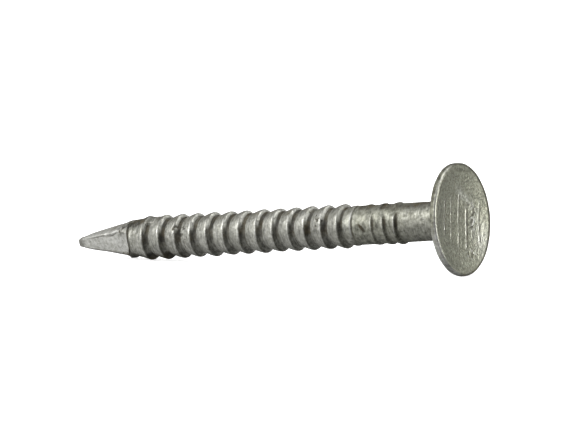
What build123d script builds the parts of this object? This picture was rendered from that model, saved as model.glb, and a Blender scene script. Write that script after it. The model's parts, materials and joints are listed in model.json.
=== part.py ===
from build123d import *

import math
import os

# Ring-shank roofing nail, cold-headed from one length of wire and dipped in
# zinc. The axis of the nail is X: the head is towards +X and the point is
# towards -X. The origin is on the axis, in the plane of the head's underside.
# The wire is divided where the way it is formed changes, and each length
# meets the next on a plane across the axis. All sizes are in millimetres.

# Overall sizes
nail_length = 38.1
shank_diameter = 3.43
head_diameter = 9.85
head_thickness = 0.60

# Head
rim_lower_radius = 0.15
rim_upper_radius = 0.16
rim_land_width = 0.55
dish_depth = 0.12
dish_floor_diameter = 7.5
impression_width = 7.3
impression_height = 5.3
impression_depth = 0.06
impression_turn = -9.5
neck_fillet_radius = 0.35
hub_length = 0.50

# Ridges that the heading punch leaves on the floor of its impression
punch_ridge_count = 6
punch_ridge_pitch = 1.2
punch_ridge_width = 0.30
punch_ridge_height = 0.07
punch_ridge_clearance = 0.12

# Plain neck, and the ridges left by the gripping dies
neck_end = -5.0
grip_end = -10.2
grip_ridge_positions = (-9.7, -7.8, -6.7, -5.55)
grip_ridge_heights = (0.06, 0.09, 0.12, 0.15)
grip_ridge_length = 0.90
grip_ridge_edge_radius = 0.25

# Annular rings: steep towards the head, gentle towards the point
ring_count = 13
ring_pitch = 1.645
last_ring = -11.12
ring_crest_diameter = 3.86
ring_root_diameter = 3.22
ring_crest_land = 0.22
ring_root_land = 0.14
ring_steep_length = 0.46
ring_edge_radius = 0.14

# Diamond point: four flats that run down to a blunt tip. Where they start, the
# corners between them are still round with the diameter of a low lead ring.
rings_end = -32.3
lead_ring_diameter = 3.34
point_base_flats = 2.76
point_tip_flats = 0.66
point_base_corner = 0.32
point_tip_corner = 0.16
point_roll = 15.0
tip_round = 0.14

# Sizes that follow from the ones above
shank_radius = shank_diameter / 2
head_radius = head_diameter / 2
crest_radius = ring_crest_diameter / 2
root_radius = ring_root_diameter / 2
lead_radius = lead_ring_diameter / 2
dish_floor_radius = dish_floor_diameter / 2
rim_land_outer = head_radius - rim_upper_radius
rim_land_inner = rim_land_outer - rim_land_width
dish_floor = head_thickness - dish_depth
impression_floor = dish_floor - impression_depth
ridge_reach_width = impression_width / 2 - punch_ridge_clearance
ridge_reach_height = impression_height / 2 - punch_ridge_clearance


def head_outline():
    """Corners of half the head's section, from the axis at the top face round to the hub."""
    return [
        (-hub_length, 0),
        (dish_floor, 0),
        (dish_floor, dish_floor_radius),
        (head_thickness, rim_land_inner),
        (head_thickness, head_radius),
        (0, head_radius),
        (0, shank_radius),
        (-hub_length, shank_radius),
    ]


def grip_outline():
    """Corners of half the gripped length's section, from the ring end to the neck end."""
    half_ridge = grip_ridge_length / 2
    corners = [(grip_end, 0), (grip_end, shank_radius)]
    for position, height in zip(grip_ridge_positions, grip_ridge_heights):
        corners.append((position - half_ridge, shank_radius))
        corners.append((position, shank_radius + height))
        corners.append((position + half_ridge, shank_radius))
    corners.append((neck_end, shank_radius))
    corners.append((neck_end, 0))
    return corners


def ring_outline():
    """Corners of half the ringed length's section, from the point end to the grip end."""
    half_land = ring_crest_land / 2
    corners = [(rings_end, 0), (rings_end, root_radius)]
    for step in range(ring_count - 1, -1, -1):
        crest = last_ring - step * ring_pitch
        root = crest + half_land + ring_steep_length
        corners.append((crest - half_land, crest_radius))
        corners.append((crest + half_land, crest_radius))
        corners.append((root, root_radius))
        if step > 0:
            corners.append((root + ring_root_land, root_radius))
    corners.append((grip_end, shank_radius))
    corners.append((grip_end, 0))
    return corners


def corners_at(section, radius):
    """The corners of a section that lie at this distance from the axis."""
    return section.vertices().filter_by(lambda v: math.isclose(v.Y, radius, abs_tol=1e-6))


# Head, with the fillet that joins it to the wire
with BuildPart() as head:
    with BuildSketch(Plane.XZ) as head_section:
        with BuildLine() as head_edge:
            Polyline(*head_outline(), close=True)
        make_face()
        fillet(corners_at(head_section, head_radius).sort_by(Axis.X)[-1], radius=rim_upper_radius)
        fillet(corners_at(head_section, head_radius).sort_by(Axis.X)[0], radius=rim_lower_radius)
    revolve(axis=Axis.X)
    under_edge = head.edges().filter_by(GeomType.CIRCLE).filter_by_position(Axis.X, 0, 0)
    fillet(under_edge.sort_by(SortBy.RADIUS)[0], radius=neck_fillet_radius)
    with BuildSketch(Plane.YZ.offset(impression_floor)):
        Ellipse(impression_width / 2, impression_height / 2, rotation=impression_turn)
    extrude(amount=impression_depth, mode=Mode.SUBTRACT)
    with BuildSketch(Plane.YZ.offset(impression_floor)):
        with Locations(Rotation(0, 0, impression_turn)):
            with GridLocations(punch_ridge_pitch, 0, punch_ridge_count, 1):
                Rectangle(punch_ridge_width, impression_height)
            Ellipse(ridge_reach_width, ridge_reach_height, mode=Mode.INTERSECT)
    extrude(amount=punch_ridge_height)

# Plain neck under the head
with BuildPart() as neck:
    with BuildSketch(Plane.YZ.offset(neck_end)):
        Circle(shank_radius)
    extrude(amount=-hub_length - neck_end)

# Length held by the gripping dies, with their shallow ridges
with BuildPart() as grip_shank:
    with BuildSketch(Plane.XZ) as grip_section:
        with BuildLine() as grip_edge:
            Polyline(*grip_outline(), close=True)
        make_face()
        for height in grip_ridge_heights:
            fillet(corners_at(grip_section, shank_radius + height), radius=grip_ridge_edge_radius)
    revolve(axis=Axis.X)

# Ringed length
with BuildPart() as ring_shank:
    with BuildSketch(Plane.XZ) as ring_section:
        with BuildLine() as ring_edge:
            Polyline(*ring_outline(), close=True)
        make_face()
        fillet(corners_at(ring_section, crest_radius), radius=ring_edge_radius)
    revolve(axis=Axis.X)

# Diamond point
with BuildPart() as point:
    with BuildSketch(Plane.YZ.offset(rings_end)):
        with Locations(Rotation(0, 0, point_roll)):
            RectangleRounded(point_base_flats, point_base_flats, point_base_corner)
    with BuildSketch(Plane.YZ.offset(-nail_length)):
        with Locations(Rotation(0, 0, point_roll)):
            RectangleRounded(point_tip_flats, point_tip_flats, point_tip_corner)
    loft()
    with BuildSketch(Plane.YZ.offset(rings_end)):
        Circle(lead_radius)
    extrude(amount=-rings_end - nail_length, mode=Mode.INTERSECT)
    fillet(point.faces().sort_by(Axis.X)[0].edges(), radius=tip_round)

os.makedirs("parts", exist_ok=True)

head.part.label = "head"
export_step(head.part, "parts/head.step")

neck.part.label = "neck"
export_step(neck.part, "parts/neck.step")

grip_shank.part.label = "grip_shank"
export_step(grip_shank.part, "parts/grip_shank.step")

ring_shank.part.label = "ring_shank"
export_step(ring_shank.part, "parts/ring_shank.step")

point.part.label = "point"
export_step(point.part, "parts/point.step")
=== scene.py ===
import json
import math

import bpy
import numpy as np
from mathutils import Matrix, Vector


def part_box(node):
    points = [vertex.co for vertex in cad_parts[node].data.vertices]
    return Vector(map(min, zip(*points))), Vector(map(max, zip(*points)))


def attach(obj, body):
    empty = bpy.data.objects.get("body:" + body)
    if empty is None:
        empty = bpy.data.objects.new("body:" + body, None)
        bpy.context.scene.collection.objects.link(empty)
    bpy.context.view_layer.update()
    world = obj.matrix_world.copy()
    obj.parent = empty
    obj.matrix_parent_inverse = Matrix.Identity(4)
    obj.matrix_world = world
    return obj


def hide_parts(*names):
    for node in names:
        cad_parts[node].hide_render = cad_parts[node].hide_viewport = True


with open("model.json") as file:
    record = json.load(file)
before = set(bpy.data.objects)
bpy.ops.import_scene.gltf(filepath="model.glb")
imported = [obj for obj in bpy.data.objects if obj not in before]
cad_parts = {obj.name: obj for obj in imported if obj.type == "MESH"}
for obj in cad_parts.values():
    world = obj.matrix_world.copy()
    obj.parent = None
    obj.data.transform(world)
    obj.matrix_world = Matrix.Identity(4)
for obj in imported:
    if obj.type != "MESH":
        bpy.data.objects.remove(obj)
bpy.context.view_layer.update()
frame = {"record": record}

# Looks for a hot-dip galvanised ring-shank roofing nail.
# The nail's axis is X, with the head towards +X. Lengths below are in
# millimetres and are turned into metres when a mesh is made. An angle goes
# round the axis from the side that faces -Y, through the top (+Z) at 90.
MM = 0.001
SEED = 7

# ---------------------------------------------------------------- the frame

RECORD = frame["record"]
MOUNTS = {m["name"]: m for m in RECORD["mounts"]}


def span_mm(node):
    """Where a CAD node starts and ends along the axis, and its largest radius, in mm."""
    low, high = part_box(node)
    return low.x / MM, high.x / MM, high.z / MM


HUB_END, HEAD_TOP, HEAD_RADIUS = span_mm("head")
NECK_END, _, NECK_RADIUS = span_mm("neck")
GRIP_END, _, _ = span_mm("grip_shank")
RINGS_END, _, CREST_RADIUS = span_mm("ring_shank")
TIP, _, _ = span_mm("point")

# ---------------------------------------------------------------- the rings

RING_COUNT = 13
SHANK = MOUNTS["driven_shank"]
# How much longer the pin is than the rings are from their first crest to their last
PIN_EXTRA = 0.11
RINGS_MIDDLE = SHANK["pos_m"][0] / MM
RINGS_LENGTH = SHANK["dims"]["length_mm"] - PIN_EXTRA
PITCH = RINGS_LENGTH / (RING_COUNT - 1)
FIRST_CREST = RINGS_MIDDLE - RINGS_LENGTH / 2
GROOVE_DEPTH = 0.38
ROOT_RADIUS = CREST_RADIUS - GROOVE_DEPTH
# The rolled crests stand this much nearer the head than the middle of their lands
CREST_SHIFT = 0.105
# How far a crest can be from its even place, and from its even radius
CREST_WANDER = 0.06
CREST_LOWER = -0.03
CREST_HIGHER = 0.02
LEAD_CREST = -32.65
LEAD_RADIUS = 1.67
END_CREST = -9.80
END_CREST_HEIGHT = 0.05
# One pitch of the ring profile, from a crest towards the head: a steep face,
# the root, then a long slope up to the next crest.
PROFILE_PHASE = (0.0, 0.03, 0.07, 0.12, 0.17, 0.22, 0.28, 0.34, 0.50, 0.70, 0.86, 0.95, 1.0)
PROFILE_HEIGHT = (1.0, 0.97, 0.84, 0.48, 0.15, 0.03, 0.0, 0.07, 0.36, 0.68, 0.89, 0.98, 1.0)
# Bands of the pitch: where each starts, is full, begins to fade and ends
STEEP_FACE = (0.035, 0.07, 0.31, 0.37)
ROOT_BAND = (0.12, 0.17, 0.32, 0.39)

# ---------------------------------------------------------------- the grip marks

# Position and height of the ridges from each half of the gripping die, the
# direction that the half faces, and how far round from there its ridges reach
NEAR_RIDGES = ((-7.66, 0.08), (-6.46, 0.11), (-5.36, 0.15))
NEAR_FACING = -45.0
FAR_RIDGES = ((-8.40, 0.08), (-7.00, 0.10), (-5.55, 0.12))
FAR_FACING = 130.0
DIE_REACH = 85.0
DIE_FADE = 22.0

# ---------------------------------------------------------------- the point

POINT_ROLL = -15.0
POINT_BASE_FLAT = 1.38
POINT_TIP_FLAT = 0.33
POINT_BASE_CORNER = 0.32
POINT_TIP_CORNER = 0.16
TIP_ROUND = 0.14
# How much fuller than flat the flats are: halfway along, on top, and underneath
FLAT_BULGE = 0.05
TOP_BULGE = 0.07
UNDER_BULGE = -0.14
# Where each flat ends, from the near one upwards
FLAT_ENDS = (-32.42, -32.55, -32.80, -33.35)
# Metal rolled over the last grooves along the top, beside the point: where it
# starts and ends, its middle, and how it rises from its foot to its most
FILL_START = -32.9
FILL_END = -29.8
FILL_ANGLE = 84.0
FILL_FOOT = -33.2
FILL_FOOT_RADIUS = 1.47
FILL_SLOPE = 0.155
FILL_MOST = 1.84
# The seam along the point's near upper edge, where the flash on it ends, and the lower seam
SEAM_ANGLE = 28.0
FLASH_END = -32.8
LOWER_SEAM_ANGLE = -56.0
# The flats end in a step, which is longer underneath
STEP_LENGTH = 0.10
STEP_LONGER = 0.32
FLASH_HEIGHT = 0.13
CURL_HEIGHT = 0.18
HOLE_DEPTH = 0.12

# ---------------------------------------------------------------- marks on the shank

# Patches: place on the axis, angle, and half size along and round the shank
NICK = (-8.73, -6.0, 0.12, 0.24)
NICK_DEPTH = 0.05
NICK_SLANT = 0.7
CURL = (-33.15, 48.0, 0.11, 0.28)
CURL_HOLE = (-32.95, 40.0, 0.09, 0.26)
SMALL_HOLE = (-33.38, 37.0, 0.08, 0.14)
CRUMBS = (-33.0, 30.0, 0.45, 0.42)
DULLED = (-32.9, 28.0, 0.45, 0.42)
RUST_PIT_DEPTH = 0.03
# Rust-pitted patches, each after its strength
RUSTY = (
    (1.0, (-27.1, 14.0, 0.5, 0.6)),
    (0.6, (-13.0, 20.0, 0.5, 0.5)),
    (0.7, (-32.3, 55.0, 0.5, 0.5)),
)

# Stains and painted shade: strength, the band of the axis where each starts, is full, begins to
# fade and ends, and the heights round the shank where it is nil and full. A
# height is the sine of the angle: -1 underneath and 1 on top. A band that ends
# past 0 runs on under the head, and heights below -1 are all round the shank.
ALL_ROUND = (-3.0, -2.0)
GRIP_STAINS_AND_SHADE = (
    # Partly a stain, partly painted shade: the top of the grip is darker where the light does not fall
    (0.75, (-10.0, -9.0, 1.0, 2.0), (0.64, 0.88)),
    # Painted shade along the very top
    (0.20, (-10.0, -9.0, 1.0, 2.0), (0.88, 0.96)),
    (0.08, (-5.5, -4.5, 1.0, 2.0), ALL_ROUND),
    (0.10, (-5.3, -5.0, -4.0, -3.0), ALL_ROUND),
    (0.12, (-9.5, -9.3, -8.3, -7.6), (-0.2, 0.1)),
)
POINT_STAINS_AND_SHADE = (
    # Painted shade on the top of the point, where the light does not fall
    (0.54, (-35.2, -34.0, -31.0, -30.3), (0.52, 0.78)),
    # Painted shade on the underside, near where the nail lies on the floor
    (0.85, (-33.0, -32.4, -28.5, -26.5), (-0.68, -0.88)),
    (0.10, (-32.4, -32.2, -31.4, -31.0), (-0.4, 0.0)),
)

# ---------------------------------------------------------------- the head

FILLET = 0.35
RIM_LOWER_ROUND = 0.15
RIM_UPPER_ROUND = 0.22
RIM_LAND = 0.26
BOWL_DEPTH = 0.21
BOWL_POWER = 2.7
IMPRESSION_WIDE = 3.65
IMPRESSION_TALL = 2.65
IMPRESSION_DEPTH = 0.03
PUNCH_RIDGE_TURN = -9.5
PUNCH_RIDGE_HALF = 0.08
PUNCH_RIDGE_HEIGHT = 0.028
PUNCH_RIDGE_FADE = 0.3
# Distance of each ridge from the middle, its strength, and where it starts and ends
PUNCH_RIDGES = (
    (-2.97, 0.80, -1.8, 1.6),
    (-1.75, 0.65, -2.3, 2.0),
    (-0.45, 0.60, -2.7, 2.3),
    (0.90, 1.10, -2.5, 1.3),
    (1.90, 0.30, -1.6, 1.4),
    (2.99, 0.65, -1.9, 2.1),
)

# A scrape on the face: where it starts, its direction, length, half width and height
SCRAPE_START = (-0.3, 2.6)
SCRAPE_TOWARDS = (0.86, -0.51)
SCRAPE_LENGTH = 2.9
SCRAPE_HALF = 0.30
SCRAPE_HEIGHT = 0.03
FACE_PIT_DEPTH = 0.025
# Patches of the face: Y, Z and half size along each, worn ones after their strength
WORN = (
    (1.0, (2.1, -0.1, 0.6, 1.3)),
    (1.3, (1.2, -3.1, 0.7, 0.4)),
)
# A painted highlight on the lower right of the face, where its dish catches the light
PAINTED_HIGHLIGHT_PATCH = (3.3, -2.2, 1.1, 1.5)

# ---------------------------------------------------------------- the zinc coat

RUN_HEIGHT = 0.010
LUMP_HEIGHT = 0.016
PIT_DEPTH = 0.014
GRAIN_HEIGHT = 0.003

# ---------------------------------------------------------------- mesh density

SHANK_COLUMNS = 208
HEAD_COLUMNS = 416
SHANK_STEP = 0.055
FINE_STEP = 0.045
TIP_ROWS = 6


# ================================================================ noise

LATTICE = 48
_lattices = {}


def lattice(seed):
    """The random values of one noise, made once and always the same for a seed."""
    if seed not in _lattices:
        rng = np.random.default_rng(SEED * 1000 + seed)
        _lattices[seed] = rng.random((LATTICE,) * 3)
    return _lattices[seed]


def noise(points, cell, seed):
    """Smooth 3-D value noise from -1 to 1 with features about one cell across."""
    values = lattice(seed)
    scaled = points / cell
    corner = np.floor(scaled).astype(int)
    part = scaled - corner
    part = part * part * (3 - 2 * part)
    total = np.zeros(points.shape[:-1])
    for bits in np.ndindex(2, 2, 2):
        weight = np.ones(points.shape[:-1])
        index = []
        for axis, bit in enumerate(bits):
            weight = weight * (part[..., axis] if bit else 1 - part[..., axis])
            index.append((corner[..., axis] + bit) % LATTICE)
        total += weight * values[tuple(index)]
    return 2 * total - 1


def fractal(points, cell, seed):
    """Three octaves of noise, each half as large and half as strong."""
    total = 0
    strengths = (1.0, 0.5, 0.25)
    for octave, strength in enumerate(strengths):
        total = total + strength * noise(points, cell / 2**octave, seed + octave)
    return total / sum(strengths)


def smooth(value, nil, full):
    """0 at nil and before it, 1 at full and past it, and a smooth step between, either way round."""
    part = np.clip((value - nil) / (full - nil), 0, 1)
    return part * part * (3 - 2 * part)


def band(value, start, full, fading, end):
    """1 from full to fading, with smooth steps from 0 at the start and to 0 at the end."""
    return smooth(value, start, full) * (1 - smooth(value, fading, end))


def hump(value, middle, half):
    """1 at the middle, falling smoothly to 0 at half away from it."""
    return 1 - smooth(np.abs(value - middle), 0, half)


def turned_from(angle, degrees):
    """How far an angle is from a direction given in degrees, from -pi to pi."""
    return (angle - math.radians(degrees) + math.pi) % (2 * math.pi) - math.pi


def patch(x, angle, at_x, at_angle, size_x, size_round):
    """A soft oval patch centred on a place on the shank, sizes in mm."""
    across = NECK_RADIUS * turned_from(angle, at_angle)
    return np.exp(-(((x - at_x) / size_x) ** 2) - (across / size_round) ** 2)


def on_shank(x, angle, radius):
    """Points at a radius from the axis."""
    return np.stack([x, -radius * np.cos(angle), radius * np.sin(angle)], axis=-1)


def all_round(count):
    """Evenly spaced angles once round the axis."""
    return np.arange(count) * 2 * math.pi / count


def total_of(patches, shape, *where):
    """The sum of some patches, each times its strength."""
    total = 0
    for strength, measures in patches:
        total = total + strength * shape(*where, *measures)
    return total


def stains_and_shade(x, angle, table):
    """All the stains and painted shade of a table together, each on one band of the axis and one side of
    the shank.
    """
    total = np.zeros_like(x)
    for strength, axis_band, heights in table:
        total += strength * smooth(np.sin(angle), *heights) * band(x, *axis_band)
    return total


# ================================================================ shapes

def ring_height(phase):
    """Height of the ring profile, 0 at the root and 1 at the crest."""
    fine = np.linspace(0, 1, 401)
    rough = np.interp(fine, PROFILE_PHASE, PROFILE_HEIGHT)
    kernel = np.hanning(15)
    soft = np.convolve(np.tile(rough[:-1], 3), kernel / kernel.sum(), "same")[400:800]
    return np.interp(phase - np.floor(phase), fine, np.append(soft, soft[0]))


def ring_crests():
    """Ring numbers, with 0 nearest the point and two spare at each end, and their crests' x and radius."""
    rng = np.random.default_rng(SEED)
    numbers = np.arange(-2, RING_COUNT + 2)
    crests = FIRST_CREST + CREST_SHIFT + PITCH * numbers
    crests[2:-2] += rng.uniform(-CREST_WANDER, CREST_WANDER, RING_COUNT)
    crests[1] = LEAD_CREST
    crests[-2] = END_CREST
    tops = CREST_RADIUS + rng.uniform(CREST_LOWER, CREST_HIGHER, len(numbers))
    tops[:2] = LEAD_RADIUS
    tops[-2:] = NECK_RADIUS + END_CREST_HEIGHT
    return numbers.astype(float), crests, tops


def ringed_radius(x, angle):
    """Radius of the rolled rings, and the phase: the ring's number and the part of a pitch past it."""
    centre = on_shank(x, angle, CREST_RADIUS)
    numbers, crests, tops = ring_crests()
    wobble = 0.05 * fractal(centre, 2.4, 10) + 0.015 * noise(centre, 0.5, 14)
    phase = np.interp(x + wobble, crests, numbers)
    height = np.where(phase < -1, 1.0, ring_height(phase))
    top = np.interp(phase, numbers, tops) + 0.03 * fractal(centre, 1.6, 20)
    return ROOT_RADIUS + (top - ROOT_RADIUS) * height, phase


def ring_marks(phase, angle):
    """Painted shade and highlights of the rings, with some grime and wear: how each groove is darkened and
    lightened differs from the top to the underside, after how the light falls.
    """
    part = phase - np.floor(phase)
    up = np.sin(angle)
    upper = smooth(up, 0.15, 0.50)
    lower = smooth(up, -0.10, -0.55)
    steep = band(part, *STEEP_FACE)
    root = band(part, *ROOT_BAND)
    edges = 0.6 * hump(part, 0.07, 0.06) + 0.25 * hump(part, 0.30, 0.08)
    # Painted shade, with some grime, on the steep faces towards the head along the sides, which face away
    # from the light
    side_dirt_and_shade = steep * (1 - upper) * (1 - lower)
    # On top the root is darkened, partly grime and partly painted shade
    upper_dirt_and_shade = 1.1 * root * upper
    # Underneath, painted shade along the edges of the groove
    lower_painted_shade = 0.95 * (edges + 0.15 * steep) * lower
    # Painted shade along the top of the wire, where the light does not fall
    top_painted_shade = 0.78 * smooth(up, 0.52, 0.90) * (1 - steep)
    dirt_and_shade = (side_dirt_and_shade + upper_dirt_and_shade + lower_painted_shade) * smooth(phase, -0.2, 0) + top_painted_shade
    # A painted highlight along the crests, partly bare worn zinc, and on the upper steep faces
    crest_wear_and_highlight = smooth(part, 0.93, 0.97) * (0.35 + 0.15 * upper)
    upper_face_highlight = 0.35 * steep * (1 - root) * upper
    # Away from the steep faces the zinc is lightened a little, as lit
    polish_and_highlight = crest_wear_and_highlight + upper_face_highlight + 0.14 * (1 - steep)
    dirt_and_shade = dirt_and_shade * (1 - smooth(phase, RING_COUNT - 0.05, RING_COUNT))
    polish_and_highlight = polish_and_highlight * band(phase, -0.5, -0.2, RING_COUNT - 0.1, RING_COUNT)
    return dirt_and_shade, polish_and_highlight


def die_ridges(x, angle, ridges, middle):
    """Ridges of one half of the gripping die: height, the groove towards the head darkened with dirt and
    painted shade, and a painted highlight on the ridge's edge.
    """
    turned = np.abs(turned_from(angle, middle))
    facing = 1 - smooth(turned, math.radians(DIE_REACH - DIE_FADE), math.radians(DIE_REACH))
    shifted = x + 0.05 * noise(on_shank(x, angle, NECK_RADIUS), 1.3, 30)
    height = np.zeros_like(x)
    dirt_and_shade = np.zeros_like(x)
    shine_and_highlight = np.zeros_like(x)
    for at, top in ridges:
        past = shifted - at
        height += top * band(past, -0.65, -0.03, 0.0, 0.16) - 0.45 * top * hump(past, 0.24, 0.22)
        # The groove towards the head is darkened, partly dirt and partly painted shade
        dirt_and_shade += top / 0.075 * band(past, 0.03, 0.10, 0.20, 0.36)
        # A painted highlight along the ridge's edge
        shine_and_highlight += 0.45 * (0.5 + 0.5 * top / 0.15) * hump(past, -0.05, 0.11)
    return height * facing, dirt_and_shade * facing, shine_and_highlight * facing


def ridge_fading(x, angle):
    """How the near half's darkened grooves, and the painted highlights on the edges of its ridges, fade
    towards the underside.
    """
    up = np.sin(angle)
    grooves = 0.18 + 0.42 * smooth(up, -0.5, -0.1) + 0.4 * smooth(up, -0.25, 0.0)
    grooves = grooves * (1 - 0.6 * smooth(up, 0.15, 0.35) * (1 - smooth(x, -5.7, -5.4)))
    edges = np.maximum(grooves, 0.6 * band(up, -0.6, -0.3, 0.0, 0.2))
    return grooves, edges


def end_ring_marks(x, angle):
    """The groove on the head side of the last low ring, darkened as painted shade, and that ring's edge,
    lightened as a painted highlight.
    """
    facing = 0.3 + 0.7 * smooth(np.cos(angle), 0.4, 0.8)
    facing = facing * (1 - 0.7 * smooth(np.sin(angle), -0.30, -0.60))
    wavy = x + 0.05 * noise(on_shank(x, angle, NECK_RADIUS), 1.3, 31)
    groove = hump(wavy, END_CREST + 0.19, 0.13)
    edge = hump(wavy, END_CREST + 0.02, 0.13)
    return groove * facing, edge * facing


def gripped_radius(x, angle):
    """Radius of the gripped length, the dirt and painted shade in its grooves and nick, and the painted
    highlights on the edges of its ridges.
    """
    near, near_dirt_and_shade, near_shine_and_highlight = die_ridges(x, angle, NEAR_RIDGES, NEAR_FACING)
    far, far_darkening, far_shine_and_highlight = die_ridges(x, angle, FAR_RIDGES, FAR_FACING)
    grooves, edges = ridge_fading(x, angle)
    end_groove, end_edge = end_ring_marks(x, angle)
    slanted = x + NICK_SLANT * NECK_RADIUS * turned_from(angle, 0)
    nick = patch(slanted, angle, *NICK)
    radius = NECK_RADIUS + near + far - NICK_DEPTH * nick - 0.03 * end_groove
    # The nick and the end groove are darkened as painted shade
    dirt_and_shade = near_dirt_and_shade * grooves + 0.5 * far_darkening + 5.0 * nick + 1.9 * end_groove
    dirt_and_shade = dirt_and_shade + stains_and_shade(x, angle, GRIP_STAINS_AND_SHADE)
    # The end ring's edge is lightened as a painted highlight
    shine_and_highlight = near_shine_and_highlight * edges + 0.5 * far_shine_and_highlight + 0.9 * end_edge
    return radius, np.clip(dirt_and_shade, 0, 1), np.clip(shine_and_highlight, 0, 1)


def rounded_square(angle, flat, corner):
    """Distance from the centre to the edge of a square with rounded corners."""
    turned = angle - math.radians(POINT_ROLL)
    fold = np.abs((turned + math.pi / 4) % (math.pi / 2) - math.pi / 4)
    inner = flat - corner
    on_flat = flat / np.cos(fold)
    spread = np.maximum(corner**2 - inner**2 * (1 - np.sin(2 * fold)), 0)
    on_corner = inner * (np.cos(fold) + np.sin(fold)) + np.sqrt(spread)
    return np.where(flat * np.tan(fold) <= inner, on_flat, on_corner)


def flats_radius(x, angle):
    """Radius of the four flats, as if they ran on for ever, a little full on top and lean underneath."""
    along = (RINGS_END - x) / (RINGS_END - TIP)
    on_point = np.clip(along, 0, 1)
    top = np.maximum(np.sin(angle), 0) ** 3
    underside = np.maximum(-np.sin(angle), 0) ** 3
    flat = POINT_BASE_FLAT + (POINT_TIP_FLAT - POINT_BASE_FLAT) * along
    flat = flat + FLAT_BULGE * np.sin(math.pi * on_point)
    flat = flat + TOP_BULGE * top * (1 - smooth(along, 0.75, 0.95))
    flat = flat + UNDER_BULGE * underside * (1 - smooth(along, 0.4, 0.85))
    corner = POINT_BASE_CORNER + (POINT_TIP_CORNER - POINT_BASE_CORNER) * on_point
    return rounded_square(angle, flat, corner)


def flats_end(angle):
    """Where the flats end, going smoothly from each to the next."""
    total = 0
    for number, end in enumerate(FLAT_ENDS):
        total = total + end * np.maximum(np.cos(turned_from(angle, POINT_ROLL + 90 * number)), 0) ** 2
    return total


def flash_height(x, angle):
    """Metal pinched out along the seam of the point: height, a painted shadow beside it with its dark
    holes, and a painted highlight along it and on the curl.
    """
    line = on_shank(x, 0 * angle, 0.4)
    ragged = 0.7 + 0.8 * noise(line, 0.6, 90) + 0.5 * noise(line, 0.25, 91)
    grows = 0.25 + 0.75 * smooth(x, -36.0, -33.8)
    ends = 1 - smooth(x, FLASH_END - 0.5, FLASH_END)
    seam = SEAM_ANGLE + 8 * noise(line, 1.1, 92) + 10 * smooth(x, -34.2, -33.2)
    across = 1.45 * (angle - np.radians(seam))
    strength = np.clip(ragged, 0.1, 1.4) * grows * ends
    edge = FLASH_HEIGHT * strength * np.exp(-((across / 0.10) ** 2))
    # A painted shadow below the flash
    under = (0.7 + 0.3 * np.clip(ragged, 0, 1)) * smooth(x, -37.2, -36.4) * ends
    under = under * hump(across, -0.17, 0.11)
    curl = patch(x, angle, *CURL)
    hole = patch(x, angle, *CURL_HOLE) + 0.7 * patch(x, angle, *SMALL_HOLE)
    height = edge - 0.03 * under + CURL_HEIGHT * curl - HOLE_DEPTH * hole
    return height, np.clip(0.75 * under + hole, 0, 1), np.clip(edge / 0.1 + curl, 0, 1)


def top_fill(x, angle):
    """Radius of the metal rolled over the last grooves along the top, or 0 where there is none."""
    place = on_shank(x, angle, NECK_RADIUS)
    over = hump(turned_from(angle, FILL_ANGLE) + 0.2 * noise(place, 0.8, 94), 0, 1.15)
    radius = np.minimum(FILL_FOOT_RADIUS + FILL_SLOPE * (x - FILL_FOOT), FILL_MOST)
    radius = radius + 0.03 * noise(place, 0.5, 95) + 0.08 * hump(x, -32.5, 1.0)
    filled = (x > FILL_START) & (x < FILL_END)
    return np.where(filled, radius, 0) * smooth(over, 0.05, 0.45)


def rolled_and_gripped(x, angle):
    """Radius, dirt with painted shade, and polish with painted highlights, as they would be if the wire
    had no point.
    """
    ringed, phase = ringed_radius(x, angle)
    ring_dirt_and_shade, ring_polish_and_highlight = ring_marks(phase, angle)
    gripped, grip_dirt_and_shade, grip_polish_and_highlight = gripped_radius(x, angle)
    radius = ringed + (gripped - ringed) * smooth(phase, RING_COUNT - 0.03, RING_COUNT + 0.08)
    dirt_and_shade = ring_dirt_and_shade + (grip_dirt_and_shade - ring_dirt_and_shade) * smooth(phase, RING_COUNT - 0.05, RING_COUNT)
    polish_and_highlight = ring_polish_and_highlight + (grip_polish_and_highlight - ring_polish_and_highlight) * smooth(phase, RING_COUNT - 0.1, RING_COUNT - 0.05)
    return radius, dirt_and_shade, polish_and_highlight


def point_crumbs_and_shade(x, angle, on_flats):
    """Crumbs beside the flash, painted shade along the lower seam, and painted shade on the tip."""
    place = on_shank(x, angle, NECK_RADIUS)
    crumbs = 0.75 * patch(x, angle, *CRUMBS) * smooth(noise(place, 0.17, 98), -0.4, 0.2)
    # Painted shade along the lower seam, where the lower facet turns from the light
    seam = 0.8 * hump(turned_from(angle, LOWER_SEAM_ANGLE), 0, 0.20) * on_flats
    seam = seam * smooth(x, TIP + 0.2, TIP + 1.1)
    # Painted shade on the tip
    tip = 0.6 * (1 - smooth(x, TIP + 0.1, TIP + 1.1)) + 0.05 * (1 - smooth(x, TIP + 1.5, TIP + 3.0))
    return crumbs + seam + tip


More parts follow.
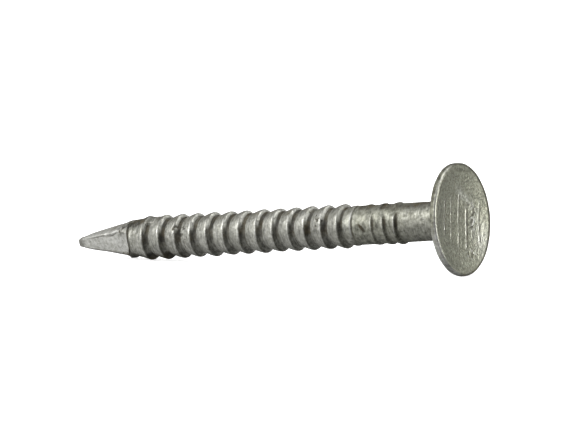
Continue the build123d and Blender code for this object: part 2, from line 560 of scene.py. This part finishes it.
def shank_shape(x, angle):
    """Radius, dirt with painted shade, and polish with painted highlights, anywhere from the tip to the
    hub of the head.
    """
    radius, dirt_and_shade, polish_and_highlight = rolled_and_gripped(x, angle)
    place = on_shank(x, angle, NECK_RADIUS)
    past_flats = x - flats_end(angle) + 0.03 * noise(place, 0.6, 93)
    step = STEP_LENGTH + STEP_LONGER * smooth(np.sin(angle), -0.75, -0.95)
    on_flats = 1 - smooth(past_flats, -0.03, step - 0.03)
    radius = radius + (np.minimum(radius, flats_radius(x, angle)) - radius) * on_flats
    # A dark line where the flats end, partly grime and partly painted shade at the step
    dirt_and_shade = np.maximum(dirt_and_shade, 1.1 * hump(past_flats, 0.10, 0.19)) * (1 - 0.6 * on_flats)
    filled = np.maximum(radius, top_fill(x, angle))
    covered = filled > radius + 0.02
    dirt_and_shade = dirt_and_shade * np.where(covered, 0.5, 1.0)
    polish_and_highlight = polish_and_highlight * np.where(covered, 0.2, 1.0)
    flash, flash_shadow_and_holes, flash_highlight = flash_height(x, angle)
    rusty = total_of(RUSTY, patch, x, angle)
    pits = smooth(noise(place, 0.22, 96) + 1.5 * rusty, 0.7, 1.0)
    radius = filled + flash - RUST_PIT_DEPTH * pits
    dirt_and_shade = dirt_and_shade * (0.85 + 0.3 * noise(place, 1.1, 97)) + 0.85 * pits + flash_shadow_and_holes
    dirt_and_shade = dirt_and_shade + point_crumbs_and_shade(x, angle, on_flats) + stains_and_shade(x, angle, POINT_STAINS_AND_SHADE)
    dulled = 1 - 0.6 * patch(x, angle, *DULLED)
    # The flats are lighter, and more so under the flash, where it is a painted highlight
    polish_and_highlight = polish_and_highlight + (0.85 + 0.3 * flash_highlight) * on_flats * dulled
    return radius, np.clip(dirt_and_shade, 0, 1), np.clip(polish_and_highlight, 0, 1)


def zinc_skin(points):
    """Runs, lumps and pits of the zinc coat, as a height in mm."""
    runs = RUN_HEIGHT * fractal(points, 0.9, 40)
    lumps = LUMP_HEIGHT * np.maximum(fractal(points, 0.35, 44), 0) ** 1.5
    pits = PIT_DEPTH * np.maximum(noise(points, 0.22, 48) - 0.55, 0) / 0.45
    grain = GRAIN_HEIGHT * noise(points, 0.12, 50)
    return runs + lumps - pits + grain


# ================================================================ meshes

def vertex_normals(points):
    """Normals of a closed-round grid from its neighbours along and round."""
    along = np.gradient(points, axis=0)
    around = np.roll(points, -1, axis=1) - np.roll(points, 1, axis=1)
    normal = np.cross(along, around)
    size = np.linalg.norm(normal, axis=-1, keepdims=True)
    return normal / np.maximum(size, 1e-12)


def grid_mesh(name, points, normals, attributes, cap=None):
    """A mesh piece from a grid of points in mm that closes round; cap is the row to close, 0 or -1."""
    rows, columns = points.shape[:2]
    index = np.arange(rows * columns).reshape(rows, columns)
    following = np.roll(index, -1, axis=1)
    quads = np.stack([index[:-1], index[1:], following[1:], following[:-1]], axis=-1).reshape(-1, 4)
    faces = quads.tolist()
    coords = points.reshape(-1, 3)
    normals = normals.reshape(-1, 3)
    values = {key: value.reshape(-1) for key, value in attributes.items()}
    if cap is not None:
        hub = len(coords)
        coords = np.vstack([coords, points[cap].mean(axis=0)])
        normals = np.vstack([normals, (1 if cap else -1, 0, 0)])
        values = {
            key: np.append(value, attributes[key][cap].mean()) for key, value in values.items()
        }
        edge = np.stack([index[cap], following[cap]], axis=1)
        edge = edge[:, ::-1] if cap else edge
        faces += [[hub, int(a), int(b)] for a, b in edge]
    mesh = bpy.data.meshes.new(name)
    mesh.from_pydata((coords * MM).tolist(), [], faces)
    for key, value in values.items():
        mesh.attributes.new(key, "FLOAT", "POINT").data.foreach_set("value", value)
    mesh.polygons.foreach_set("use_smooth", [True] * len(mesh.polygons))
    mesh.validate()
    mesh.normals_split_custom_set_from_vertices(normals.tolist())
    piece = bpy.data.objects.new(name, mesh)
    bpy.context.scene.collection.objects.link(piece)
    return piece


def fields(dirt_and_shade, polish_and_highlight, patina=0.0, face=0.0):
    """The four values of each point that the material reads."""
    flat = np.zeros_like(dirt_and_shade)
    # The dirt also carries painted shade, and the polish painted highlights
    return {"dirt_and_shade": dirt_and_shade, "polish_and_highlight": polish_and_highlight, "patina": patina + flat, "face": face + flat}


def shank_piece(name, start, end, step):
    """A length of the shank between two positions on the axis."""
    count = max(2, int(round((end - start) / step)))
    inner = np.linspace(start, end, count + 1)
    gap = inner[1] - inner[0]
    rows = np.concatenate([[inner[0] - gap], inner, [inner[-1] + gap]])
    x, angle = np.meshgrid(rows, all_round(SHANK_COLUMNS), indexing="ij")
    radius, dirt_and_shade, polish_and_highlight = shank_shape(x, angle)
    skin = zinc_skin(on_shank(x, angle, radius))
    points = on_shank(x, angle, radius + skin)
    normals = vertex_normals(points)
    tarnish = 0.62 * smooth(x, -13.0, -9.0) - 0.25 * smooth(x, -5.2, -3.8)
    kept = slice(1, -1)
    values = fields(dirt_and_shade[kept], polish_and_highlight[kept], tarnish[kept])
    return grid_mesh(name, points[kept], normals[kept], values)


def point_piece():
    """The diamond point, its tip rounded over and closed."""
    count = int(round((RINGS_END - TIP - TIP_ROUND) / FINE_STEP))
    body = np.linspace(RINGS_END, TIP + TIP_ROUND, count + 1)
    gap = body[0] - body[1]
    rows = np.concatenate([[body[0] + gap], body])
    turn = np.radians(np.linspace(15, 90, TIP_ROWS))
    tip_rows = body[-1] - TIP_ROUND * np.sin(turn)
    shrink = TIP_ROUND * (1 - np.cos(turn))
    inner = np.array([0.75, 0.5, 0.25])
    places = np.concatenate([rows, tip_rows, np.full(len(inner), tip_rows[-1])])
    x, angle = np.meshgrid(places, all_round(SHANK_COLUMNS), indexing="ij")
    radius, dirt_and_shade, polish_and_highlight = shank_shape(x, angle)
    tip = len(rows)
    end = tip + TIP_ROWS
    radius[tip:end] -= shrink[:, None]
    radius[end:] = radius[end - 1] * inner[:, None]
    skin = zinc_skin(on_shank(x, angle, radius))
    skin[end:] *= inner[:, None]
    points = on_shank(x, angle, radius + skin)[::-1]
    normals = vertex_normals(points)
    values = fields(dirt_and_shade[:0:-1], polish_and_highlight[:0:-1])
    return grid_mesh("point_look", points[:-1], normals[:-1], values, cap=0)


def straight(start, end, count):
    """Evenly spaced places on a straight line between two (x, radius) places."""
    return np.linspace(start, end, count)


def arc(centre_x, centre_r, radius, start, end, count):
    """Evenly spaced places, as x and radius, on an arc between two angles in degrees."""
    turn = np.radians(np.linspace(start, end, count))
    return np.stack([centre_x + radius * np.cos(turn), centre_r + radius * np.sin(turn)], axis=1)


def head_profile():
    """Half section of the head, from the hub round the rim to the middle of the top, as x and radius."""
    flat_radius = HEAD_RADIUS - RIM_LOWER_ROUND
    land_radius = HEAD_RADIUS - RIM_UPPER_ROUND
    side_end = HEAD_TOP - RIM_UPPER_ROUND
    parts = [
        straight((HUB_END - FINE_STEP, NECK_RADIUS), (-FILLET, NECK_RADIUS), 5),
        arc(-FILLET, NECK_RADIUS + FILLET, FILLET, 270, 360, 9)[1:],
        straight((0, NECK_RADIUS + FILLET), (0, flat_radius), 36)[1:],
        arc(RIM_LOWER_ROUND, flat_radius, RIM_LOWER_ROUND, 180, 90, 6)[1:],
        straight((RIM_LOWER_ROUND, HEAD_RADIUS), (side_end, HEAD_RADIUS), 6)[1:],
        arc(side_end, land_radius, RIM_UPPER_ROUND, 90, 0, 9)[1:],
        straight((HEAD_TOP, land_radius), (HEAD_TOP, 0.05), 100)[1:],
    ]
    return np.concatenate(parts)


def face_patch(y, z, at_y, at_z, size_y, size_z):
    """A soft oval patch on the face of the head, sizes in mm."""
    return np.exp(-(((y - at_y) / size_y) ** 2) - ((z - at_z) / size_z) ** 2)


def impression(across, along, place):
    """How deep the punch's oval impression is, and the darkening along its edge."""
    reach = np.sqrt((across / IMPRESSION_WIDE) ** 2 + (along / IMPRESSION_TALL) ** 2)
    reach = reach + 0.03 * noise(place, 0.9, 60)
    depth = IMPRESSION_DEPTH * (1 - smooth(reach, 0.88, 1.06))
    dirt_and_shade = 0.15 * hump(reach, 1.0, 0.05) * smooth(noise(place, 1.0, 61), -0.4, 0.5)
    return depth, dirt_and_shade


def punch_ridges(across, along, place):
    """Height of the punch's ridges, painted shade beside them, and painted highlights on them."""
    height = np.zeros_like(across)
    dirt_and_shade = np.zeros_like(across)
    shine_and_highlight = np.zeros_like(across)
    for number, (at, strength, start, end) in enumerate(PUNCH_RIDGES):
        off = across - at + 0.03 * noise(place, 1.4, 62 + number) + 0.02 * noise(place, 0.35, 63 + number)
        broken = np.clip(0.8 + 0.5 * noise(place, 0.5, 70 + number), 0, 1.2)
        length = band(along, start, start + PUNCH_RIDGE_FADE, end - PUNCH_RIDGE_FADE, end)
        there = strength * broken * length
        height += PUNCH_RIDGE_HEIGHT * there * np.exp(-((off / PUNCH_RIDGE_HALF) ** 2))
        # Painted shade beside each ridge, on its side away from the light, and a painted highlight on the
        # ridge
        dirt_and_shade += 0.9 * there * hump(off, 0.20, 0.16)
        shine_and_highlight += there * hump(off, -0.02, 0.17)
    return height, dirt_and_shade, shine_and_highlight


def scrape_mark(y, z):
    """The scrape on the face, 1 along its middle."""
    off_y = y - SCRAPE_START[0]
    off_z = z - SCRAPE_START[1]
    along = np.clip(off_y * SCRAPE_TOWARDS[0] + off_z * SCRAPE_TOWARDS[1], 0, SCRAPE_LENGTH)
    off_y = off_y - along * SCRAPE_TOWARDS[0]
    off_z = off_z - along * SCRAPE_TOWARDS[1]
    return np.exp(-(off_y**2 + off_z**2) / SCRAPE_HALF**2)


def face_wear(y, z, place):
    """Pits where the face is worn, scuffs all over it, the shine of worn places, and a painted highlight
    on the lower right of the face.
    """
    worn_and_highlight = total_of(WORN, face_patch, y, z)
    pits = smooth(noise(place, 0.20, 78) + 0.8 * worn_and_highlight, 0.75, 1.1)
    rough = 0.4 + 0.6 * smooth(y, -0.5, 2.5)
    scuffs = rough * (0.006 * fractal(place, 0.6, 76) + 0.010 * fractal(place, 0.26, 77))
    shine_and_highlight = 1.5 * worn_and_highlight * smooth(noise(place, 0.18, 75), 0.0, 0.4) * (1 - pits)
    # A painted highlight on the lower right of the face
    shine_and_highlight = shine_and_highlight + 0.9 * face_patch(y, z, *PAINTED_HIGHLIGHT_PATCH) * (0.8 + 0.3 * noise(place, 0.4, 74))
    return pits, scuffs, shine_and_highlight


def face_depth(y, z, radius):
    """How far the top face lies below the rim, with its dirt and painted shade, and its shine and painted
    highlights.
    """
    turn = math.radians(PUNCH_RIDGE_TURN)
    across = y * math.cos(turn) + z * math.sin(turn)
    along = -y * math.sin(turn) + z * math.cos(turn)
    place = np.stack([np.zeros_like(y), y, z], axis=-1)
    pressed, pressed_edge_darkening = impression(across, along, place)
    ridges, ridge_shade, ridge_highlight = punch_ridges(across, along, place)
    pits, scuffs, wear_shine_and_highlight = face_wear(y, z, place)
    scrape = scrape_mark(y, z)
    bowl_radius = HEAD_RADIUS - RIM_LAND
    bowl = BOWL_DEPTH * (1 - np.clip(radius / bowl_radius, 0, 1) ** BOWL_POWER)
    depth = bowl + pressed - ridges - SCRAPE_HEIGHT * scrape + FACE_PIT_DEPTH * pits
    depth = depth + scuffs * (1 - smooth(radius, bowl_radius - 0.2, bowl_radius))
    dirt_and_shade = pressed_edge_darkening + ridge_shade + 0.6 * pits
    shine_and_highlight = ridge_highlight + 0.8 * scrape * (1 + noise(place, 0.3, 79)) + wear_shine_and_highlight
    return depth, np.clip(dirt_and_shade, 0, 1), np.clip(0.45 * shine_and_highlight, 0, 1)


def rim_shade_and_highlight(x, radius, angle, wall):
    """Painted shade and highlights of the rim: lighter along its edge on the -Y side, darker on the +Y
    side and along the upper wall.
    """
    facing = smooth(np.cos(angle), 0.10, 0.42)
    low = smooth(np.sin(angle), 0.1, -0.4)
    high = smooth(np.sin(angle), -0.4, 0.4)
    edge = smooth(x, HEAD_TOP - 0.24, HEAD_TOP - 0.14)
    edge = edge * smooth(radius, HEAD_RADIUS - 0.18, HEAD_RADIUS - 0.09)
    # Painted shade on the wall of the rim, mostly on its upper side
    wall_shade = wall * (0.65 - 0.27 * smooth(x, 0.08, 0.16)) * (1 - smooth(x, 0.34, 0.42))
    wall_shade = wall_shade * (0.1 + 0.9 * high)
    # Painted shade along the far +Y side of the rim
    far_start = HEAD_RADIUS - 0.20 - 0.26 * np.maximum(-np.cos(angle), 0)
    far_darkening = 0.8 * (1 - facing) * smooth(radius, far_start - 0.05, far_start + 0.05)
    # A painted highlight along the edge and the lower wall on the -Y side
    polish_and_highlight = ((0.28 + 0.42 * low) * edge + 0.7 * low * wall) * facing
    return wall_shade + far_darkening, polish_and_highlight


def within_head(points):
    """The same points, held inside the CAD head's top, radius and sides."""
    x = np.minimum(points[..., :1], HEAD_TOP)
    across = points[..., 1:]
    reach = np.linalg.norm(across, axis=-1, keepdims=True)
    across = across * np.minimum(1, HEAD_RADIUS / np.maximum(reach, 0.01))
    low_corner, high_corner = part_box("head")
    y = np.clip(across[..., :1], low_corner.y / MM, high_corner.y / MM)
    return np.concatenate([x, y, across[..., 1:]], axis=-1)


def head_piece():
    """The head, its outline slightly uneven and its top dished."""
    profile = head_profile()
    start_x, angle = np.meshgrid(profile[:, 0], all_round(HEAD_COLUMNS), indexing="ij")
    radius = np.repeat(profile[:, 1:], HEAD_COLUMNS, axis=1)
    outer = smooth(radius, NECK_RADIUS + FILLET, HEAD_RADIUS)
    on_top = smooth(start_x, HEAD_TOP - 0.05, HEAD_TOP)
    rim = on_shank(0 * angle, angle, HEAD_RADIUS)
    uneven = 0.006 * (fractal(rim, 3.0, 80) - 0.4) + 0.003 * noise(rim, 0.8, 84)
    radius = radius * (1 + np.minimum(uneven, 0) * outer)
    warp = 0.03 * noise(on_shank(0 * angle, angle, 3.0), 3.5, 86) * outer
    y, z = -radius * np.cos(angle), radius * np.sin(angle)
    depth, face_dirt_and_shade, face_shine_and_highlight = face_depth(y, z, radius)
    x = start_x + warp * (1 - 0.5 * on_top) - depth * on_top
    points = np.stack([x, y, z], axis=-1)
    skin = zinc_skin(points) * (1 - 0.45 * on_top)
    skin = np.where(radius < 1.0, skin * smooth(radius, 0.0, 0.4), skin)
    points = within_head(points + vertex_normals(points) * skin[..., None])
    wall = smooth(radius, HEAD_RADIUS - 0.10, HEAD_RADIUS - 0.06)
    # The rim's painted shade and highlights
    rim_shade, rim_highlight = rim_shade_and_highlight(x, radius, angle, wall)
    # The face's and the rim's painted shade and highlights
    dirt_and_shade = np.clip(face_dirt_and_shade * on_top + rim_shade, 0, 1)
    polish_and_highlight = np.clip(rim_highlight + face_shine_and_highlight * on_top, 0, 1)
    aged = np.clip(on_top + wall, 0, 1)
    under = smooth(radius, NECK_RADIUS + 0.1, NECK_RADIUS + FILLET) * (1 - on_top) * (1 - wall)
    calm = on_top + 0.55 * under
    values = fields(dirt_and_shade[1:], polish_and_highlight[1:], aged[1:], calm[1:])
    return grid_mesh("head_look", points[1:], vertex_normals(points)[1:], values, cap=-1)


# ================================================================ materials

METALLIC = 0.75
FACE_METALLIC = 0.9
DIRT_AND_SHADE_METALLIC = 0.1
ROUGHNESS = (0.42, 0.62)
FACE_ROUGHNESS = 0.30
DIRT_AND_SHADE_ROUGHNESS = 0.8
ZINC_DARK = (0.48, 0.48, 0.43)
ZINC_LIGHT = (0.69, 0.69, 0.63)
MOTTLE_DARK = (0.55, 0.55, 0.51)
MOTTLE_LIGHT = (1.0, 1.0, 1.0)
FACE_ZINC = (0.50, 0.50, 0.435)
# Bare zinc, also used for painted highlights
POLISHED_AND_HIGHLIGHT_ZINC = (0.88, 0.88, 0.84)
PATINA_TINT = (0.76, 0.77, 0.69)
# Dark grime, also used for painted shade
GRIME_AND_SHADE_DARK = (0.035, 0.033, 0.026)
GRIME_AND_SHADE_BROWN = (0.075, 0.062, 0.035)
# Streaks run round the wire, so their noise is this much finer along it
STREAK_STRETCH = (6.0, 1.0, 1.0)
# Heights of the two bumps, in metres
FINE_BUMP = 0.000012
COARSE_BUMP = 0.00006


def node(tree, kind, **values):
    """A new node with some of its inputs or settings given."""
    made = tree.nodes.new(kind)
    for key, value in values.items():
        if key in made.inputs:
            made.inputs[key].default_value = value
        else:
            setattr(made, key, value)
    return made


class Shading:
    """The nodes of one material, with short names for the kinds that it uses often."""

    def __init__(self, name):
        self.material = bpy.data.materials.new(name)
        self.material.use_nodes = True
        self.tree = self.material.node_tree
        self.tree.nodes.clear()
        self.link = self.tree.links.new
        self.place = node(self.tree, "ShaderNodeTexCoord").outputs["Object"]

    def stretched(self, scale):
        """The place on the object, scaled along each axis."""
        made = node(self.tree, "ShaderNodeMapping", Scale=scale)
        self.link(self.place, made.inputs["Vector"])
        return made.outputs["Vector"]

    def noise(self, scale, detail, rough=0.55, place=None):
        """Noise from 0 to 1, with its scale in features for each metre."""
        made = node(self.tree, "ShaderNodeTexNoise", Scale=scale, Detail=detail, Roughness=rough)
        self.link(place or self.place, made.inputs["Vector"])
        return made.outputs["Fac"]

    def ramp(self, value, low, high, at_low, at_high):
        """A colour that goes from low to high as the value goes from at_low to at_high."""
        made = node(self.tree, "ShaderNodeValToRGB")
        self.link(value, made.inputs["Fac"])
        first, last = made.color_ramp.elements
        first.position, last.position = at_low, at_high
        first.color, last.color = (*low, 1), (*high, 1)
        return made.outputs["Color"]

    def grey(self, value, low, high, at_low, at_high):
        """A grey that goes from low to high as the value goes from at_low to at_high."""
        return self.ramp(value, (low,) * 3, (high,) * 3, at_low, at_high)

    def mix(self, mode, factor, first, second):
        """Two colours mixed; each of the three can be a number, a colour or a socket."""
        made = node(self.tree, "ShaderNodeMix", data_type="RGBA", blend_type=mode)
        for socket, value in ((0, factor), (6, first), (7, second)):
            if isinstance(value, (float, int)):
                made.inputs[socket].default_value = value
            elif isinstance(value, tuple):
                made.inputs[socket].default_value = (*value, 1)
            else:
                self.link(value, made.inputs[socket])
        return made.outputs[2]

    def field(self, name):
        """One of the mesh's own values."""
        return node(self.tree, "ShaderNodeAttribute", attribute_name=name).outputs["Fac"]

    def bump(self, height, strength, distance, below=None):
        """A normal bumped by a height, over another one if it is given."""
        made = node(self.tree, "ShaderNodeBump", Strength=strength, Distance=distance)
        self.link(height, made.inputs["Height"])
        if below:
            self.link(below, made.inputs["Normal"])
        return made.outputs["Normal"]


def clean_zinc(shading):
    """Mottled zinc: streaked on the shank, blotched where it has a patina, calmer on the face."""
    patina = shading.field("patina")
    mottle = shading.ramp(shading.noise(3800, 5, 0.6), MOTTLE_DARK, MOTTLE_LIGHT, 0.36, 0.60)
    broad = shading.ramp(shading.noise(900, 4), ZINC_DARK, ZINC_LIGHT, 0.3, 0.7)
    along = shading.stretched(STREAK_STRETCH)
    streaks = shading.grey(shading.noise(1500, 4, 0.65, along), 0.34, 1.0, 0.38, 0.56)
    blotches = shading.grey(shading.noise(2000, 4, 0.6), 0.30, 1.0, 0.39, 0.56)
    speckle = shading.grey(shading.noise(4600, 5, 0.7), 0.40, 1.0, 0.40, 0.58)
    colour = shading.mix("MULTIPLY", 0.85, broad, mottle)
    colour = shading.mix("MULTIPLY", 0.9, colour, shading.mix("MIX", patina, streaks, blotches))
    calm = shading.mix("MULTIPLY", 0.9, FACE_ZINC, speckle)
    colour = shading.mix("MIX", shading.field("face"), colour, calm)
    colour = shading.mix("MULTIPLY", patina, colour, PATINA_TINT)
    # Bare zinc where it is polished and where highlights are painted
    worn_and_highlight = shading.mix("MULTIPLY", 0.8, POLISHED_AND_HIGHLIGHT_ZINC, mottle)
    dull = shading.grey(shading.noise(550, 3), 0.80, 1.0, 0.35, 0.6)
    worn_and_highlight = shading.mix("MULTIPLY", 1.0, worn_and_highlight, dull)
    return shading.mix("MIX", shading.field("polish_and_highlight"), colour, worn_and_highlight)


def dirt_and_shade_cover(shading):
    """How much of the zinc the dirt and painted shade hide, with an uneven edge."""
    edge = shading.grey(shading.noise(2500, 4), 0.88, 1.0, 0.35, 0.6)
    return shading.mix("MULTIPLY", 1.0, shading.field("dirt_and_shade"), edge)


def metal_of(shading, dirt_and_shade):
    """How metallic the surface is."""
    metal = shading.mix("MIX", shading.field("face"), (METALLIC,) * 3, (FACE_METALLIC,) * 3)
    return shading.mix("MIX", dirt_and_shade, metal, (DIRT_AND_SHADE_METALLIC,) * 3)


def roughness_of(shading, dirt_and_shade):
    """How rough the surface is."""
    rough = shading.grey(shading.noise(3000, 4), *ROUGHNESS, 0.3, 0.7)
    rough = shading.mix("MIX", shading.field("face"), rough, (FACE_ROUGHNESS,) * 3)
    return shading.mix("MIX", dirt_and_shade, rough, (DIRT_AND_SHADE_ROUGHNESS,) * 3)


def bumps(shading):
    """Fine grain under coarser lumps, which are smaller on the face."""
    fine = shading.bump(shading.noise(9000, 4, 0.6), 0.8, FINE_BUMP)
    on_face = shading.mix("MULTIPLY", 1.0, shading.noise(4200, 5, 0.65), (0.7,) * 3)
    lumps = shading.mix("MIX", shading.field("face"), shading.noise(2600, 5, 0.6), on_face)
    return shading.bump(lumps, 0.9, COARSE_BUMP, fine)


def zinc_material():
    """Weathered hot-dip zinc: mottled grey with an olive cast, dirt and painted shade in the grooves, and
    painted highlights on crests and edges.
    """
    shading = Shading("weathered_zinc")
    out = node(shading.tree, "ShaderNodeOutputMaterial")
    shader = node(shading.tree, "ShaderNodeBsdfPrincipled")
    shader.inputs["IOR"].default_value = 1.5
    shader.inputs["Specular IOR Level"].default_value = 0.3
    dirt_and_shade = dirt_and_shade_cover(shading)
    grime_and_shade = shading.ramp(shading.noise(1300, 3), GRIME_AND_SHADE_DARK, GRIME_AND_SHADE_BROWN, 0.4, 0.65)
    colour = shading.mix("MIX", dirt_and_shade, clean_zinc(shading), grime_and_shade)
    shading.link(colour, shader.inputs["Base Color"])
    shading.link(metal_of(shading, dirt_and_shade), shader.inputs["Metallic"])
    shading.link(roughness_of(shading, dirt_and_shade), shader.inputs["Roughness"])
    shading.link(bumps(shading), shader.inputs["Normal"])
    shading.link(shader.outputs["BSDF"], out.inputs["Surface"])
    return shading.material


# ================================================================ the stage

# The camera's turn from square to the nail's side and its rise over the floor,
# in degrees, its lens in mm, and the width of the view and the middle of it in mm
CAMERA_TURN = 30.0
CAMERA_RISE = 5.0
LENS = 800.0
SENSOR = 36.0
VIEW_WIDTH = 50.5
AIM = (-16.26, -0.62, 1.30)
CLIP_NEAR = 0.01
CLIP_FAR = 10.0

# Half width of the floor in metres, and its gap under the nail in mm
FLOOR_REACH = 9.0
FLOOR_GAP = 0.02
FLOOR_WHITE = 0.9
FLOOR_GLOW = 0.75

# Name of each light, its direction from the nail, diameter in metres and power in watts
LIGHTS = (
    ("key", (-0.47, -0.70, 0.58), 0.42, 3.2),
    ("top", (0.5, 0.27, 0.85), 0.34, 2.1),
    ("side", (0.90, 0.44, 0.05), 0.24, 1.45),
)
LIGHT_DISTANCE = 0.6

WORLD_BASE = 0.13
# Strength of the plain white that the camera sees past the floor
WORLD_SEEN = 1.3
# Direction of each glow, the cosine of the angle at which it starts, and its strength
WORLD_GLOWS = (
    ((-0.85, -0.45, -0.35), 0.3, 0.50),
    ((0.0, -1.0, -0.3), 0.0, 0.16),
    ((0.98, 0.10, 0.15), 0.45, 0.30),
    ((0.10, 0.95, -0.30), 0.80, 0.52),
)


def floor_up():
    """The direction away from the surface that the nail's rim and first ring lie on."""
    rise = HEAD_RADIUS - CREST_RADIUS
    run = HEAD_TOP / 2 - FIRST_CREST
    return Vector((rise, 0, run)).normalized()


def view_directions():
    """The camera's back, right and up directions, level with the floor."""
    up = floor_up()
    turn, rise = math.radians(CAMERA_TURN), math.radians(CAMERA_RISE)
    level = Vector((math.sin(turn), -math.cos(turn), 0))
    level = (level - up * level.dot(up)).normalized()
    back = level * math.cos(rise) + up * math.sin(rise)
    right = up.cross(back).normalized()
    return back, right, back.cross(right)


def add_camera():
    """A long lens that takes in the whole nail."""
    back, right, above = view_directions()
    data = bpy.data.cameras.new("camera")
    data.lens = LENS
    data.sensor_width = SENSOR
    data.clip_start = CLIP_NEAR
    data.clip_end = CLIP_FAR
    camera = bpy.data.objects.new("camera", data)
    bpy.context.scene.collection.objects.link(camera)
    turn = Matrix((right, above, back)).transposed()
    place = Vector(AIM) * MM + back * (VIEW_WIDTH * MM * LENS / SENSOR)
    camera.matrix_world = Matrix.Translation(place) @ turn.to_4x4()
    bpy.context.scene.camera = camera


def floor_material():
    """Matt white that gives off some light of its own, so that it stays even and pale."""
    material = bpy.data.materials.new("pale_floor")
    material.use_nodes = True
    shader = material.node_tree.nodes["Principled BSDF"]
    shader.inputs["Base Color"].default_value = (FLOOR_WHITE,) * 3 + (1,)
    shader.inputs["Roughness"].default_value = 0.9
    shader.inputs["Specular IOR Level"].default_value = 0.0
    shader.inputs["Emission Color"].default_value = (1, 1, 1, 1)
    shader.inputs["Emission Strength"].default_value = FLOOR_GLOW
    return material


def add_floor():
    """The floor that the nail lies on, which it neither mirrors nor takes colour from."""
    up = floor_up()
    middle = Vector((HEAD_TOP / 2, 0, -HEAD_RADIUS)) * MM - up * FLOOR_GAP * MM
    side = Vector((0, 1, 0))
    forward = side.cross(up)
    corners = [(-1, -1), (1, -1), (1, 1), (-1, 1)]
    points = [middle + (forward * a + side * b) * FLOOR_REACH for a, b in corners]
    mesh = bpy.data.meshes.new("floor")
    mesh.from_pydata(points, [], [(0, 1, 2, 3)])
    mesh.materials.append(floor_material())
    floor = bpy.data.objects.new("floor", mesh)
    bpy.context.scene.collection.objects.link(floor)
    floor.visible_diffuse = False
    floor.visible_glossy = False


def add_light(name, direction, size, power):
    """A soft round lamp that faces the nail."""
    data = bpy.data.lights.new(name, "AREA")
    data.shape = "DISK"
    data.size = size
    data.energy = power
    light = bpy.data.objects.new(name, data)
    bpy.context.scene.collection.objects.link(light)
    towards = Vector(direction).normalized()
    light.location = Vector(AIM) * MM + towards * LIGHT_DISTANCE
    light.rotation_mode = "QUATERNION"
    light.rotation_quaternion = towards.to_track_quat("Z", "Y")


def glow(tree, place, direction, start, strength):
    """Light that grows towards one direction of the room."""
    towards = node(tree, "ShaderNodeVectorMath", operation="DOT_PRODUCT")
    towards.inputs[1].default_value = Vector(direction).normalized()
    tree.links.new(place, towards.inputs[0])
    fade = node(tree, "ShaderNodeMapRange", interpolation_type="SMOOTHSTEP")
    fade.inputs["From Min"].default_value = start
    fade.inputs["From Max"].default_value = 1.0
    fade.inputs["To Max"].default_value = strength
    tree.links.new(towards.outputs["Value"], fade.inputs["Value"])
    return fade.outputs["Result"]


def room_light(tree):
    """The dim light of the room with all its glows, which is what lights the nail."""
    place = node(tree, "ShaderNodeTexCoord").outputs["Generated"]
    total = None
    for direction, start, strength in WORLD_GLOWS:
        added = node(tree, "ShaderNodeMath", operation="ADD")
        tree.links.new(glow(tree, place, direction, start, strength), added.inputs[0])
        if total is None:
            added.inputs[1].default_value = WORLD_BASE
        else:
            tree.links.new(total, added.inputs[1])
        total = added.outputs["Value"]
    return total


def add_world():
    """A grey room with soft glows, which the camera itself sees as plain white."""
    world = bpy.data.worlds.new("studio")
    bpy.context.scene.world = world
    world.use_nodes = True
    tree = world.node_tree
    link = tree.links.new
    tree.nodes.clear()
    out = node(tree, "ShaderNodeOutputWorld")
    back = node(tree, "ShaderNodeBackground")
    seen = node(tree, "ShaderNodeMix", data_type="FLOAT")
    link(node(tree, "ShaderNodeLightPath").outputs["Is Camera Ray"], seen.inputs["Factor"])
    link(room_light(tree), seen.inputs["A"])
    seen.inputs["B"].default_value = WORLD_SEEN
    link(seen.outputs["Result"], back.inputs["Strength"])
    link(back.outputs["Background"], out.inputs["Surface"])


# ================================================================ build

PIECES = {
    "head": head_piece(),
    "neck": shank_piece("neck_look", NECK_END, HUB_END, SHANK_STEP),
    "grip_shank": shank_piece("grip_shank_look", GRIP_END, NECK_END, FINE_STEP),
    "ring_shank": shank_piece("ring_shank_look", RINGS_END, GRIP_END, SHANK_STEP),
    "point": point_piece(),
}
ZINC = zinc_material()
for name, piece in PIECES.items():
    piece.data.materials.append(ZINC)
    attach(piece, "root")
    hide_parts(name)

add_camera()
add_floor()
for light in LIGHTS:
    add_light(*light)
add_world()
bpy.context.scene.view_settings.view_transform = "Standard"
